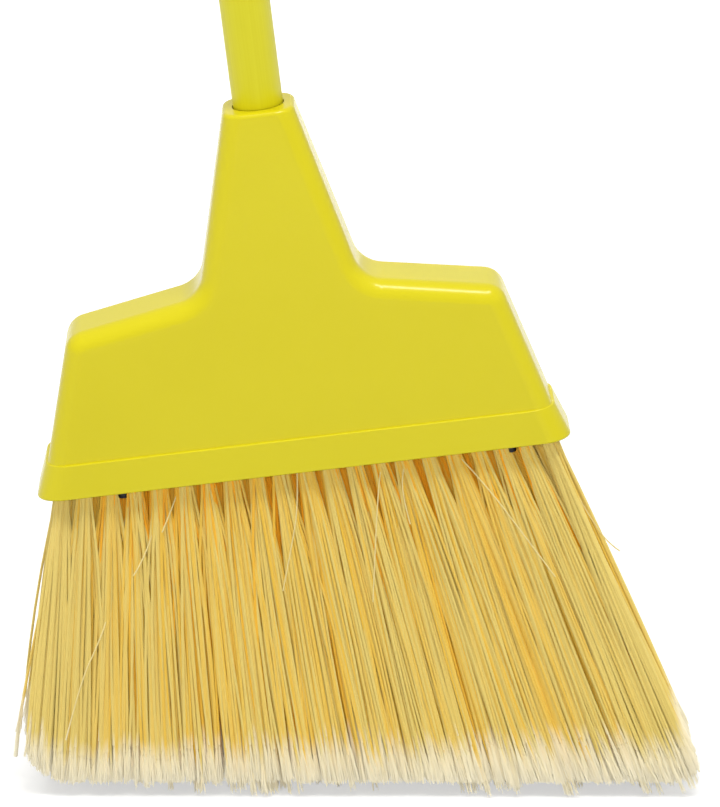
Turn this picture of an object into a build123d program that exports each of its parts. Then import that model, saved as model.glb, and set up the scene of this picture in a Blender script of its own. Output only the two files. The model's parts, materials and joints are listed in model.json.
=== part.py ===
from build123d import *
import os
from math import ceil, cos, radians, sin, sqrt
from random import Random

# Upright broom: a hollow moulded head, four rows of tufts cut on a slant, and a screw-in handle.
# Millimetres and degrees. A height is measured along the handle, from the mouth of the head.

# Stance: the slanted cut stands flat on the floor, so the handle leans towards -X
LEAN = 7.4
BRISTLE_LENGTH = 169.5

# Handle: a steel tube in a plastic sleeve
HANDLE_DIAMETER = 23.8
HANDLE_LENGTH = 1219.0
SLEEVE_WALL = 0.4
CORE_WALL = 0.6
PLUG_SLACK = 0.05

# Head, outside
MOUTH_WIDTH = 260.2
MOUTH_DEPTH = 44.0
SKIRT_HEIGHT = 17.7
SKIRT_TOP_WIDTH = 247.0
SKIRT_CORNER = 12.0
SKIRT_EDGE = 0.7
LIP_EDGE = 1.0
LEDGE = 1.3
SHOULDER_WIDTH = 208.0
SHOULDER_HEIGHT = 80.3
SHOULDER_RADIUS = 11.0
NECK_BASE_WIDTH = 78.0
NECK_BASE_HEIGHT = 92.0
NECK_RADIUS = 16.0
COLLAR_HEIGHT = 179.1
COLLAR_SIDE_WALL = 4.3
COLLAR_FRONT_WALL = 4.6
COLLAR_EDGE = 2.4
EDGE_RADIUS = 9.0
BELLY = 1.7

# Head, inside
WALL = 2.4
MOUTH_WALL = 5.6
COLLAR_ROOF = 7.0
SOCKET_CLEARANCE = 0.5
SOCKET_WALL = 1.9
SEAT_DEPTH = 45.0
SEAT_GAP = 0.3
WEB = 2.0
WEB_FOOT = 62.0
BOSS_WALL = 2.5
BOSS_ROOF = 6.0

# Screw thread between handle and head
THREAD_PITCH = 5.08
THREAD_DIAMETER = 19.0
THREAD_DEPTH = 2.1
THREAD_LENGTH = 32.0
THREAD_RELIEF = 4.5
RELIEF_DEPTH = 0.3
THREAD_SPARE = 6.0
THREAD_CLEARANCE = 0.35
RIDGE_CREST = 1.7
RIDGE_ROOT = 2.9
STUD_CHAMFER = 1.2
TIP_FLANGE = 2.5
TIP_PLUG = 32.0
PIN_DIAMETER = 3.0
PIN_SLACK = 0.03

# Hanging cap, which swivels on a stem in a bush
BUSH_LENGTH = 14.0
STEM_DIAMETER = 9.0
STEM_RUNNING = 0.06
STEM_BARB = 0.9
STEM_BARB_LENGTH = 4.0
CAP_GAP = 0.3
CAP_INSET = 0.1
CAP_HEIGHT = 10.0
CAP_EDGE = 1.5
EYE_THICKNESS = 8.0
EYE_RISE = 24.0
EYE_HOLE = 9.0
EYE_EDGE = 1.2

# Tuft block, set in the mouth
BLOCK_FIT = 0.3
BLOCK_CORNER = 6.5
SLICE = 1.2
SLICE_GAP = 0.1
END_MARGIN = 4.0
SIDE_MARGIN = 5.8
TUFT_SPACING = 11.75
TUFT_DIAMETER = 4.8
TUFT_SLACK = 0.2
TUFT_DEPTH = 9.0
ANCHOR_BITE = 0.5
ANCHOR_HEIGHT = 1.6
ANCHOR_THICKNESS = 0.4
ANCHOR_SLACK = 0.1
ANCHOR_COVER = 0.8

# Strands: each tuft spreads from its hole to the floor, and the end tufts are cut shorter
FAN_WIDTH = 325.0
FAN_SHIFT = 10.2
FAN_DEPTH = 56.0
STRANDS_ROUND = 4
STRAND_WIDTH = 1.4
ROOT_SPREAD = 2.05
TIP_SPREAD = 5.0
RAGGED = 4.0
FLAT_CUT = 0.5
END_RISE = 16.0
END_START = 0.82
TRIM_SEED = 7

# Block screws
SCREW_DIAMETER = 3.2
SCREW_SLACK = 0.15
SCREW_BITE = 15.0
SCREW_POINT = 0.8
SCREW_HEAD = 5.2
SCREW_HEAD_HEIGHT = 4.2
SCREW_KEY = 2.5
SCREW_KEY_DEPTH = 2.0

# Handle and socket, worked out
handle_radius = HANDLE_DIAMETER / 2
core_radius = handle_radius - SLEEVE_WALL
plug_radius = core_radius - CORE_WALL - PLUG_SLACK
socket_radius = handle_radius + SOCKET_CLEARANCE
collar_width = 2 * (socket_radius + COLLAR_SIDE_WALL)
collar_depth = 2 * (socket_radius + COLLAR_FRONT_WALL)
seat = COLLAR_HEIGHT - SEAT_DEPTH
tip_seat = seat + SEAT_GAP
stud_foot = tip_seat - THREAD_LENGTH
socket_foot = stud_foot - THREAD_SPARE
thread_radius = THREAD_DIAMETER / 2
thread_root = thread_radius - THREAD_DEPTH
relief_radius = thread_root - RELIEF_DEPTH
tube_foot = tip_seat + TIP_FLANGE
tube_top = tube_foot + HANDLE_LENGTH
pin_height = tube_foot + TIP_PLUG / 2

# Cap, worked out
cap_foot = tube_top + CAP_GAP
cap_top = cap_foot + CAP_HEIGHT
cap_radius = handle_radius - CAP_INSET
stem_radius = STEM_DIAMETER / 2
stem_shoulder = tube_top - BUSH_LENGTH - CAP_GAP
eye_radius = sqrt(cap_radius**2 - (EYE_THICKNESS / 2) ** 2)
eye_height = cap_top + EYE_RISE - eye_radius

# Head, worked out
ledge_width = SKIRT_TOP_WIDTH - 2 * LEDGE
ledge_depth = MOUTH_DEPTH - 2 * LEDGE
recess_top = SKIRT_HEIGHT - WALL
block_top = recess_top - BLOCK_FIT


def between(height, low, low_value, high, high_value):
    return low_value + (height - low) * (high_value - low_value) / (high - low)


def skirt_half_width(height):
    return between(height, 0, MOUTH_WIDTH / 2, SKIRT_HEIGHT, SKIRT_TOP_WIDTH / 2)


def body_half_width(height):
    return between(height, SKIRT_HEIGHT, ledge_width / 2, SHOULDER_HEIGHT, SHOULDER_WIDTH / 2)


def body_half_depth(height):
    share = between(height, SKIRT_HEIGHT, 0, COLLAR_HEIGHT, 1)
    return between(share, 0, ledge_depth / 2, 1, collar_depth / 2) + 4 * BELLY * share * (1 - share)


def recess_half_width(height):
    mouth = MOUTH_WIDTH / 2 - MOUTH_WALL
    return between(height, 0, mouth, recess_top, skirt_half_width(recess_top) - WALL)


# Tuft layout: the outer rows are full, and the tufts of the inner rows stand in their gaps
ROW_NAMES = ["front_tuft_row", "second_tuft_row", "third_tuft_row", "back_tuft_row"]
row_end = recess_half_width(recess_top) - BLOCK_FIT
row_length = 2 * (row_end - END_MARGIN)
tufts = round(row_length / TUFT_SPACING) + 1
pitch = row_length / (tufts - 1)
row_depth = MOUTH_DEPTH - 2 * (WALL + BLOCK_FIT + SIDE_MARGIN)
row_step = row_depth / (len(ROW_NAMES) - 1)
tuft_rows = []
for number in range(len(ROW_NAMES)):
    is_outer = number in (0, len(ROW_NAMES) - 1)
    count = tufts if is_outer else tufts - 1
    row_y = number * row_step - row_depth / 2
    tuft_rows.append([((i - (count - 1) / 2) * pitch, row_y) for i in range(count)])
all_tufts = sum(tuft_rows, [])
anchor_foot = SLICE + TUFT_DEPTH - ANCHOR_COVER - ANCHOR_HEIGHT

# Screws sit in gaps of the outer rows, in a pattern that is the same turned half round
left_gap = -row_length / 2 + 2.5 * pitch
right_gap = row_length / 2 - 1.5 * pitch
front_screws = [(left_gap, -row_depth / 2), (right_gap, -row_depth / 2)]
back_screws = [(-left_gap, row_depth / 2), (-right_gap, row_depth / 2)]
screw_hole = SCREW_DIAMETER / 2 + SCREW_SLACK

# Strands stand round each tuft's middle one, and fan out to the floor: X from the mouth's middle
around = [Vector(1, 0).rotate(Axis.Z, 360 * (i + 0.5) / STRANDS_ROUND) for i in range(STRANDS_ROUND)]
lean = radians(LEAN)


def floor_x(tuft_x, spread_x):
    fan_x = FAN_SHIFT + tuft_x * FAN_WIDTH / row_length + TIP_SPREAD * spread_x
    return BRISTLE_LENGTH * sin(lean) + fan_x / cos(lean)


# Frame: the floor is Z = 0, and the origin is under the middle of the whole broom
reach_left = eye_height * sin(lean) + eye_radius
reach_floor = floor_x(row_length / 2, around[0].X)
end_root_x = row_length / 2 * cos(lean)
end_root_z = BRISTLE_LENGTH * cos(lean) + row_length / 2 * sin(lean)
end_rise_x = (reach_floor - end_root_x) * END_RISE / end_root_z
reach_right = reach_floor - end_rise_x + STRAND_WIDTH / 2
stance = Plane(
    origin=((reach_left - reach_right) / 2, 0, BRISTLE_LENGTH * cos(lean)),
    x_dir=(cos(lean), 0, sin(lean)),
    z_dir=(-sin(lean), 0, cos(lean)),
)
front = Plane(stance.origin, x_dir=stance.x_dir, z_dir=(0, -1, 0))
side = Plane(stance.origin, x_dir=(0, 1, 0), z_dir=stance.x_dir)
handle_axis = Axis(stance.origin, stance.z_dir)
across = Axis(stance.origin, stance.x_dir)


def level(height):
    return stance.offset(height)


# The head's body without its skirt: the front outline, bellied and thinned to the collar, edges rounded
def head_body(inset):
    foot = -2 * WALL
    top = COLLAR_HEIGHT + WALL
    with BuildPart() as body:
        with BuildSketch(front) as outline:
            with BuildLine():
                Polyline(
                    (0, foot),
                    (body_half_width(foot), foot),
                    (SHOULDER_WIDTH / 2, SHOULDER_HEIGHT),
                    (NECK_BASE_WIDTH / 2, NECK_BASE_HEIGHT),
                    (collar_width / 2, COLLAR_HEIGHT),
                    (0, COLLAR_HEIGHT),
                )
                mirror(about=Plane.YZ)
            make_face()
            fillet(outline.vertices().group_by(Axis.Y)[1], SHOULDER_RADIUS)
            fillet(outline.vertices().group_by(Axis.Y)[-2], NECK_RADIUS)
            if inset:
                offset(amount=-inset)
        extrude(amount=MOUTH_DEPTH, both=True)
        with BuildSketch(side):
            with BuildLine():
                heights = (foot, (foot + top) / 2, top)
                belly = ThreePointArc(*[(body_half_depth(height) - inset, height) for height in heights])
                Line((0, foot), belly @ 0)
                Line(belly @ 1, (0, top))
                mirror(about=Plane.YZ)
            make_face()
        extrude(amount=MOUTH_WIDTH, both=True, mode=Mode.INTERSECT)
        broad_faces = faces().sort_by(Axis.Y)
        rims = broad_faces[0].edges() + broad_faces[-1].edges()
        fillet(rims - rims.filter_by(across), EDGE_RADIUS - inset)
        split(bisect_by=level(0), keep=Keep.TOP)
    return body.part


# The skirt round the mouth, with rounded corners
def skirt():
    with BuildPart() as band:
        with BuildSketch(front):
            with BuildLine():
                Polyline(
                    (0, 0),
                    (MOUTH_WIDTH / 2, 0),
                    (SKIRT_TOP_WIDTH / 2, SKIRT_HEIGHT),
                    (0, SKIRT_HEIGHT),
                )
                mirror(about=Plane.YZ)
            make_face()
        extrude(amount=MOUTH_DEPTH / 2, both=True)
        upright = edges() - edges().filter_by(across) - edges().filter_by(Axis.Y)
        fillet(upright, SKIRT_CORNER)
        fillet(faces().sort_by(handle_axis)[-1].edges(), SKIRT_EDGE)
        fillet(faces().sort_by(handle_axis)[0].edges(), LIP_EDGE)
    return band.part


# What fills the recess of the mouth, from one height to another, with a gap all round
def mouth_fill(foot, top, gap):
    with BuildPart() as slab:
        with BuildSketch(front):
            with BuildLine():
                Polyline(
                    (recess_half_width(foot) - gap, foot),
                    (recess_half_width(top) - gap, top),
                    (gap - recess_half_width(top), top),
                    (gap - recess_half_width(foot), foot),
                    close=True,
                )
            make_face()
        extrude(amount=MOUTH_DEPTH / 2 - WALL - gap, both=True)
        upright = edges() - edges().filter_by(across) - edges().filter_by(Axis.Y)
        fillet(upright, BLOCK_CORNER)
    return slab.part


def ridge_width(radius):
    return between(radius, thread_root, RIDGE_ROOT, thread_radius, RIDGE_CREST)


# The turns of a groove round the handle's axis, down from a height, as wide as told at two radii
def thread_groove(top, foot, inner, inner_width, outer, outer_width):
    turns = ceil((top - foot) / THREAD_PITCH) + 1
    base = level(top - turns * THREAD_PITCH)
    with BuildPart() as turn:
        with BuildLine() as winding:
            Helix(THREAD_PITCH, THREAD_PITCH, inner, base.origin, base.z_dir)
        start = winding.line @ 0
        outward = (start - base.origin).normalized()
        with BuildSketch(Plane(start, x_dir=outward, z_dir=outward.cross(base.z_dir))):
            with BuildLine():
                Polyline(
                    (0, -inner_width / 2),
                    (outer - inner, -outer_width / 2),
                    (outer - inner, outer_width / 2),
                    (0, inner_width / 2),
                    close=True,
                )
            make_face()
        sweep(path=winding.line, is_frenet=True)
    return [turn.part.moved(Location(base.z_dir * (THREAD_PITCH * i))) for i in range(turns)]


# The stud's groove ends in the relief. The socket's groove is half a pitch out of step with it,
# so that it takes the stud's ridge, with a clearance
groove_end = tip_seat - THREAD_RELIEF / 2
groove_radius = thread_radius + THREAD_CLEARANCE
stud_groove = thread_groove(
    groove_end,
    stud_foot,
    thread_root,
    THREAD_PITCH - ridge_width(thread_root),
    groove_radius,
    THREAD_PITCH - ridge_width(groove_radius),
)
socket_groove = thread_groove(
    groove_end + 1.5 * THREAD_PITCH,
    socket_foot,
    thread_root,
    ridge_width(thread_root) + 2 * THREAD_CLEARANCE,
    groove_radius,
    ridge_width(groove_radius) + 2 * THREAD_CLEARANCE,
)

# A web along the middle of the head carries the socket
with BuildPart() as web:
    add(head_body(WALL / 2))
    with BuildSketch(front):
        with Locations((0, (WEB_FOOT + COLLAR_HEIGHT - COLLAR_ROOF) / 2)):
            Rectangle(MOUTH_WIDTH, COLLAR_HEIGHT - COLLAR_ROOF - WEB_FOOT)
    extrude(amount=WEB / 2, both=True, mode=Mode.INTERSECT)
    with BuildSketch(level(socket_foot)):
        Circle(socket_radius + SOCKET_WALL / 2)
    extrude(amount=COLLAR_HEIGHT - socket_foot, mode=Mode.SUBTRACT)

# The socket takes the handle's end down to a seat, and the threaded stud below it
with BuildPart() as socket:
    with BuildSketch(level(socket_foot)):
        Circle(socket_radius + SOCKET_WALL)
    extrude(amount=COLLAR_HEIGHT - COLLAR_ROOF - socket_foot)
    with BuildSketch(level(seat)):
        Circle(socket_radius)
    extrude(amount=SEAT_DEPTH, mode=Mode.SUBTRACT)
    with BuildSketch(level(socket_foot)):
        Circle(thread_root + THREAD_CLEARANCE)
    extrude(amount=seat - socket_foot, mode=Mode.SUBTRACT)
    add(socket_groove, mode=Mode.SUBTRACT)

with BuildPart() as hollow:
    add(head_body(WALL))
    split(bisect_by=level(COLLAR_HEIGHT - COLLAR_ROOF), keep=Keep.BOTTOM)

os.makedirs("parts", exist_ok=True)

# Head: one moulding with its socket and web, and screw bosses on ribs across it
with BuildPart() as head_shell:
    add(head_body(0))
    fillet(faces().sort_by(handle_axis)[-1].edges(), COLLAR_EDGE)
    add(skirt())
    add(hollow.part, mode=Mode.SUBTRACT)
    add(mouth_fill(-WALL, recess_top, 0), mode=Mode.SUBTRACT)
    with BuildSketch(level(COLLAR_HEIGHT - COLLAR_ROOF)):
        Circle(socket_radius)
    extrude(amount=COLLAR_ROOF, mode=Mode.SUBTRACT)
    add([web.part, socket.part])
    with BuildSketch(level(block_top)):
        with Locations(*front_screws, *back_screws):
            Circle(screw_hole + BOSS_WALL)
        with Locations(*[(x, 0) for x, y in front_screws + back_screws]):
            Rectangle(WEB, ledge_depth - WALL)
    extrude(amount=SCREW_BITE + BOSS_ROOF)
    with BuildSketch(level(block_top)):
        with Locations(*front_screws, *back_screws):
            Circle(screw_hole)
    extrude(amount=SCREW_BITE + BOSS_ROOF / 2, mode=Mode.SUBTRACT)
head_shell.part.label = "head_shell"
export_step(head_shell.part, "parts/head_shell.step")

# Block: a blind hole for each tuft, and a clearance hole for each screw
with BuildPart() as tuft_block:
    add(mouth_fill(SLICE, block_top, BLOCK_FIT))
    with BuildSketch(level(SLICE)):
        with Locations(*all_tufts):
            Circle(TUFT_DIAMETER / 2 + TUFT_SLACK)
    extrude(amount=TUFT_DEPTH + TUFT_SLACK, mode=Mode.SUBTRACT)
    with BuildSketch(level(SLICE)):
        with Locations(*front_screws, *back_screws):
            Circle(screw_hole)
    extrude(amount=block_top - SLICE, mode=Mode.SUBTRACT)
tuft_block.part.label = "tuft_block"
export_step(tuft_block.part, "parts/tuft_block.step")

# Anchors: a flat wire across each tuft, whose ends bite into the hole's wall
with BuildPart() as tuft_anchors:
    with BuildSketch(level(anchor_foot)):
        with Locations(*all_tufts):
            Rectangle(TUFT_DIAMETER + 2 * (TUFT_SLACK + ANCHOR_BITE), ANCHOR_THICKNESS)
    extrude(amount=ANCHOR_HEIGHT)
tuft_anchors.part.label = "tuft_anchors"
export_step(tuft_anchors.part, "parts/tuft_anchors.step")

with BuildPart() as block_screws:
    with BuildSketch(level(-SCREW_HEAD_HEIGHT)):
        with Locations(*front_screws, *back_screws):
            Circle(SCREW_HEAD / 2)
            RegularPolygon(SCREW_KEY / 2, 6, mode=Mode.SUBTRACT)
    extrude(amount=SCREW_KEY_DEPTH)
    with BuildSketch(level(SCREW_KEY_DEPTH - SCREW_HEAD_HEIGHT)):
        with Locations(*front_screws, *back_screws):
            Circle(SCREW_HEAD / 2)
    extrude(amount=SCREW_HEAD_HEIGHT - SCREW_KEY_DEPTH)
    with BuildSketch(level(0)):
        with Locations(*front_screws, *back_screws):
            Circle(SCREW_DIAMETER / 2)
    extrude(amount=block_top + SCREW_BITE)
    chamfer(edges().group_by(handle_axis)[-1], SCREW_POINT)
block_screws.part.label = "block_screws"
export_step(block_screws.part, "parts/block_screws.step")


# One four-sided strand, from its tuft in the slice to its cut end above the floor
def strand(tuft, spread, lift):
    root = stance.from_local_coords(
        Vector(tuft[0] + ROOT_SPREAD * spread.X, tuft[1] + ROOT_SPREAD * spread.Y, SLICE / 2)
    )
    floor = Vector(
        stance.origin.X + floor_x(tuft[0], spread.X),
        tuft[1] * FAN_DEPTH / row_depth + TIP_SPREAD * spread.Y,
        0,
    )
    tip = floor + (root - floor) * (lift / root.Z)
    with BuildPart() as lone:
        with BuildSketch(Plane(root)):
            Rectangle(STRAND_WIDTH, STRAND_WIDTH)
        extrude(amount=(tip - root).length, dir=tip - root)
    return lone.part


# How far above the floor a strand is cut: ragged, flat where it meets the floor, higher at the ends
def cut_height(tuft, trim):
    past_start = max(0.0, abs(tuft[0]) / (row_length / 2) - END_START) / (1 - END_START)
    return max(0.0, trim.uniform(0, RAGGED) - FLAT_CUT) + END_RISE * past_start**2


trim = Random(TRIM_SEED)
for row_name, row in zip(ROW_NAMES, tuft_rows):
    row_y = row[0][1]
    row_strands = [
        strand(tuft, spread, cut_height(tuft, trim)) for tuft in row for spread in [Vector(), *around]
    ]
    row_screws = [place for place in front_screws + back_screws if place[1] == row_y]
    with BuildPart() as tuft_row:
        with BuildSketch(level(0)):
            with Locations((0, row_y)):
                Rectangle(2 * row_end, row_step - SLICE_GAP)
            if row_screws:
                with Locations(*row_screws):
                    Circle(screw_hole, mode=Mode.SUBTRACT)
        extrude(amount=SLICE)
        with BuildSketch(level(SLICE)):
            with Locations(*row):
                Circle(TUFT_DIAMETER / 2)
        extrude(amount=TUFT_DEPTH)
        with BuildSketch(level(anchor_foot - ANCHOR_SLACK)):
            with Locations(*row):
                Rectangle(TUFT_DIAMETER + TUFT_SLACK, ANCHOR_THICKNESS + 2 * ANCHOR_SLACK)
        extrude(amount=ANCHOR_HEIGHT + 2 * ANCHOR_SLACK, mode=Mode.SUBTRACT)
        add(row_strands)
    tuft_row.part.label = row_name
    export_step(tuft_row.part, f"parts/{row_name}.step")

with BuildPart() as handle_core:
    with BuildSketch(level(tube_foot)):
        Circle(core_radius)
        Circle(core_radius - CORE_WALL, mode=Mode.SUBTRACT)
    extrude(amount=HANDLE_LENGTH)
    with BuildSketch(front):
        with Locations((0, pin_height)):
            Circle(PIN_DIAMETER / 2 + PIN_SLACK)
    extrude(amount=core_radius, both=True, mode=Mode.SUBTRACT)
handle_core.part.label = "handle_core"
export_step(handle_core.part, "parts/handle_core.step")

with BuildPart() as handle_sleeve:
    with BuildSketch(level(tube_foot)):
        Circle(handle_radius)
        Circle(core_radius + PLUG_SLACK, mode=Mode.SUBTRACT)
    extrude(amount=HANDLE_LENGTH)
handle_sleeve.part.label = "handle_sleeve"
export_step(handle_sleeve.part, "parts/handle_sleeve.step")

# Threaded tip: a plug in the tube, a flange under its end, and the stud
with BuildPart() as thread_tip:
    with BuildSketch(front):
        with BuildLine():
            Polyline(
                (0, stud_foot),
                (thread_radius - STUD_CHAMFER, stud_foot),
                (thread_radius, stud_foot + STUD_CHAMFER),
                (thread_radius, tip_seat - THREAD_RELIEF),
                (relief_radius, tip_seat - THREAD_RELIEF),
                (relief_radius, tip_seat),
                (core_radius, tip_seat),
                (core_radius, tube_foot),
                (plug_radius, tube_foot),
                (plug_radius, tube_foot + TIP_PLUG),
                (0, tube_foot + TIP_PLUG),
                close=True,
            )
        make_face()
    revolve(axis=handle_axis)
    add(stud_groove, mode=Mode.SUBTRACT)
    with BuildSketch(front):
        with Locations((0, pin_height)):
            Circle(PIN_DIAMETER / 2 + PIN_SLACK)
    extrude(amount=core_radius, both=True, mode=Mode.SUBTRACT)
thread_tip.part.label = "thread_tip"
export_step(thread_tip.part, "parts/thread_tip.step")

with BuildPart() as tip_pin:
    with BuildSketch(front):
        with Locations((0, pin_height)):
            Circle(PIN_DIAMETER / 2)
    extrude(amount=core_radius - PLUG_SLACK, both=True)
tip_pin.part.label = "tip_pin"
export_step(tip_pin.part, "parts/tip_pin.step")

with BuildPart() as cap_bush:
    with BuildSketch(level(tube_top - BUSH_LENGTH)):
        Circle(plug_radius)
        Circle(stem_radius + STEM_RUNNING, mode=Mode.SUBTRACT)
    extrude(amount=BUSH_LENGTH)
cap_bush.part.label = "cap_bush"
export_step(cap_bush.part, "parts/cap_bush.step")

# Hanging eye, a flat tongue with a round top
with BuildPart() as eye:
    with BuildSketch(front):
        with Locations((0, (cap_foot + CAP_EDGE + eye_height) / 2)):
            Rectangle(2 * eye_radius, eye_height - cap_foot - CAP_EDGE)
        with Locations((0, eye_height)):
            Circle(eye_radius)
    extrude(amount=EYE_THICKNESS / 2, both=True)
    broad_faces = faces().sort_by(Axis.Y)
    rims = broad_faces[0].edges() + broad_faces[-1].edges()
    fillet(rims - rims.filter_by(across), EYE_EDGE)

with BuildPart() as hang_cap:
    with BuildSketch(front):
        with BuildLine():
            Polyline(
                (0, stem_shoulder - STEM_BARB_LENGTH),
                (stem_radius - STEM_BARB, stem_shoulder - STEM_BARB_LENGTH),
                (stem_radius + STEM_BARB, stem_shoulder),
                (stem_radius, stem_shoulder),
                (stem_radius, cap_foot),
                (cap_radius, cap_foot),
                (cap_radius, cap_top),
                (0, cap_top),
                close=True,
            )
        make_face()
    revolve(axis=handle_axis)
    fillet(faces().sort_by(handle_axis)[-1].edges(), CAP_EDGE)
    add(eye.part)
    with BuildSketch(front):
        with Locations((0, eye_height)):
            Circle(EYE_HOLE / 2)
    extrude(amount=EYE_THICKNESS, both=True, mode=Mode.SUBTRACT)
hang_cap.part.label = "hang_cap"
export_step(hang_cap.part, "parts/hang_cap.step")
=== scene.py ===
import json
from functools import partial
from math import atan, cos, pi, radians, sin, tan

import bmesh
import bpy
from mathutils import Matrix, Vector


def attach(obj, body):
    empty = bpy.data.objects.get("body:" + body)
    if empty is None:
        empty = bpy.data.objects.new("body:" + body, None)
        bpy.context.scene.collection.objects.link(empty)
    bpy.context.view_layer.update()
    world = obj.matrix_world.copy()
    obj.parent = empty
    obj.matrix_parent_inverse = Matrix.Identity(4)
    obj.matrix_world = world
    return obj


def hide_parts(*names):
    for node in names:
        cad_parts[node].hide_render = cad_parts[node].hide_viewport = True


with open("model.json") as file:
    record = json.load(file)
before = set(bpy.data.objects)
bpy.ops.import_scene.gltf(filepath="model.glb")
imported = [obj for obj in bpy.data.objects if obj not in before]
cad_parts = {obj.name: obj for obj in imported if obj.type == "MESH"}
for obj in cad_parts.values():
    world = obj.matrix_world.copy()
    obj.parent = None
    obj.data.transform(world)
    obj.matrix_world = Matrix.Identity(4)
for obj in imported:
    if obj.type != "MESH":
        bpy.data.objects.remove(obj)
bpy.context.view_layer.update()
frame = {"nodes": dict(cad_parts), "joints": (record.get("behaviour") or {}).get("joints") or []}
scene = bpy.context.scene
print("frame loaded:", len(frame["nodes"]), "nodes")

# The broom's own axes: X across the head, Z up the handle, origin in the middle of the mouth
stance = {
    "lean": radians(7.4),
    "seatHeight": 0.1341,  # along the handle, from the mouth to the seat that the handle turns on
}
turning = next(j for j in frame["joints"] if j["name"] == "handle_turn")
handleAxis = Vector(turning["axis"]).normalized()
mouth = Vector(turning["pos_m"]) - handleAxis * stance["seatHeight"]
broomMatrix = Matrix.Translation(mouth) @ Matrix.Rotation(-stance["lean"], 4, "Y")


def toLinear(hexColour):  # an sRGB hex value as linear RGBA
    parts = [int(hexColour[i : i + 2], 16) / 255 for i in (1, 3, 5)]
    return (*(c / 12.92 if c <= 0.04045 else ((c + 0.055) / 1.055) ** 2.4 for c in parts), 1.0)


def addNode(tree, kind, feeds=(), **settings):  # one node: its settings, then what feeds its sockets
    node = tree.nodes.new(kind)
    for name, value in settings.items():
        setattr(node, name, value)
    sockets = [s for s in node.inputs if s.enabled]
    for key, value in feeds.items() if isinstance(feeds, dict) else enumerate(feeds):
        socket = sockets[key] if isinstance(key, int) else next(s for s in sockets if s.name == key)
        for source in value if isinstance(value, list) else [value]:  # a list makes several links
            if isinstance(source, bpy.types.Node):
                source = next(s for s in source.outputs if s.enabled)
            if isinstance(source, bpy.types.NodeSocket):
                tree.links.new(source, socket)
            else:
                socket.default_value = source
    return node


def newMaterial(name):  # a material with an empty tree, and that tree's object coordinates
    material = bpy.data.materials.new(name)
    material.use_nodes = True
    material.node_tree.nodes.clear()
    place = addNode(material.node_tree, "ShaderNodeTexCoord").outputs["Object"]
    return material, partial(addNode, material.node_tree), place


# Moulded polypropylene: satin with soft highlights, hardly uneven in colour,
# with the fine peel of a textured mould
headPlastic = {
    "colour": "#d6c80c",
    "cloudColour": "#dccf18",
    "cloudSize": 0.09,
    "peelSize": 0.0011,  # drawn coarser than the real 0.3 mm, so that it shows
    "roughness": 0.24,
    "roughChange": 0.04,  # each way, with the peel
    "gloss": 0.36,
    "bump": 0.08,
    "bumpDepth": 0.0004,
    "ior": 1.49,
}


def makeHeadPlastic():
    material, add, place = newMaterial("mouldedPolypropylene")
    size = 1 / headPlastic["cloudSize"]
    cloud = add("ShaderNodeTexNoise", {"Vector": place, "Scale": size, "Detail": 3.0})
    size = 1 / headPlastic["peelSize"]
    peel = add("ShaderNodeTexNoise", {"Vector": place, "Scale": size, "Detail": 2.0})
    colours = {"A": toLinear(headPlastic["colour"]), "B": toLinear(headPlastic["cloudColour"])}
    colour = add("ShaderNodeMix", {"Factor": cloud, **colours}, data_type="RGBA")
    rough, change = headPlastic["roughness"], headPlastic["roughChange"]
    rough = add("ShaderNodeMapRange", {"Value": peel, "To Min": rough - change, "To Max": rough + change})
    depth = {"Strength": headPlastic["bump"], "Distance": headPlastic["bumpDepth"]}
    bump = add("ShaderNodeBump", {**depth, "Height": peel})
    feeds = {"Base Color": colour, "Roughness": rough, "Normal": bump}
    feeds |= {"IOR": headPlastic["ior"], "Specular IOR Level": headPlastic["gloss"]}
    add("ShaderNodeOutputMaterial", {"Surface": add("ShaderNodeBsdfPrincipled", feeds)})
    return material


# Extruded plastic skin on the handle: more matte than the head, with fine die lines along it
handlePlastic = {
    "colour": "#ebe31e",
    "lineColour": "#e8df18",
    "lineWidth": 0.0012,
    "lineStretch": 0.012,  # scale along the handle, which draws the noise out into lines
    "lineRange": (0.35, 0.65),  # of the noise, between the two colours
    "roughness": 0.46,
    "roughChange": 0.04,
    "bump": 0.03,
    "bumpDepth": 0.0002,
    "ior": 1.5,
}


def makeHandlePlastic():
    material, add, place = newMaterial("extrudedSleeve")
    turned = add("ShaderNodeMapping", {"Vector": place, "Rotation": (0, stance["lean"], 0)})
    drawn = add("ShaderNodeMapping", {"Vector": turned, "Scale": (1.0, 1.0, handlePlastic["lineStretch"])})
    size = 1 / handlePlastic["lineWidth"]
    lines = add("ShaderNodeTexNoise", {"Vector": drawn, "Scale": size, "Detail": 2.0})
    low, high = handlePlastic["lineRange"]
    share = add("ShaderNodeMapRange", {"Value": lines, "From Min": low, "From Max": high})
    colours = {"A": toLinear(handlePlastic["colour"]), "B": toLinear(handlePlastic["lineColour"])}
    colour = add("ShaderNodeMix", {"Factor": share, **colours}, data_type="RGBA")
    rough, change = handlePlastic["roughness"], handlePlastic["roughChange"]
    rough = add("ShaderNodeMapRange", {"Value": lines, "To Min": rough - change, "To Max": rough + change})
    depth = {"Strength": handlePlastic["bump"], "Distance": handlePlastic["bumpDepth"]}
    bump = add("ShaderNodeBump", {**depth, "Height": lines})
    feeds = {"Base Color": colour, "Roughness": rough, "Normal": bump, "IOR": handlePlastic["ior"]}
    add("ShaderNodeOutputMaterial", {"Surface": add("ShaderNodeBsdfPrincipled", feeds)})
    return material


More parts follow.
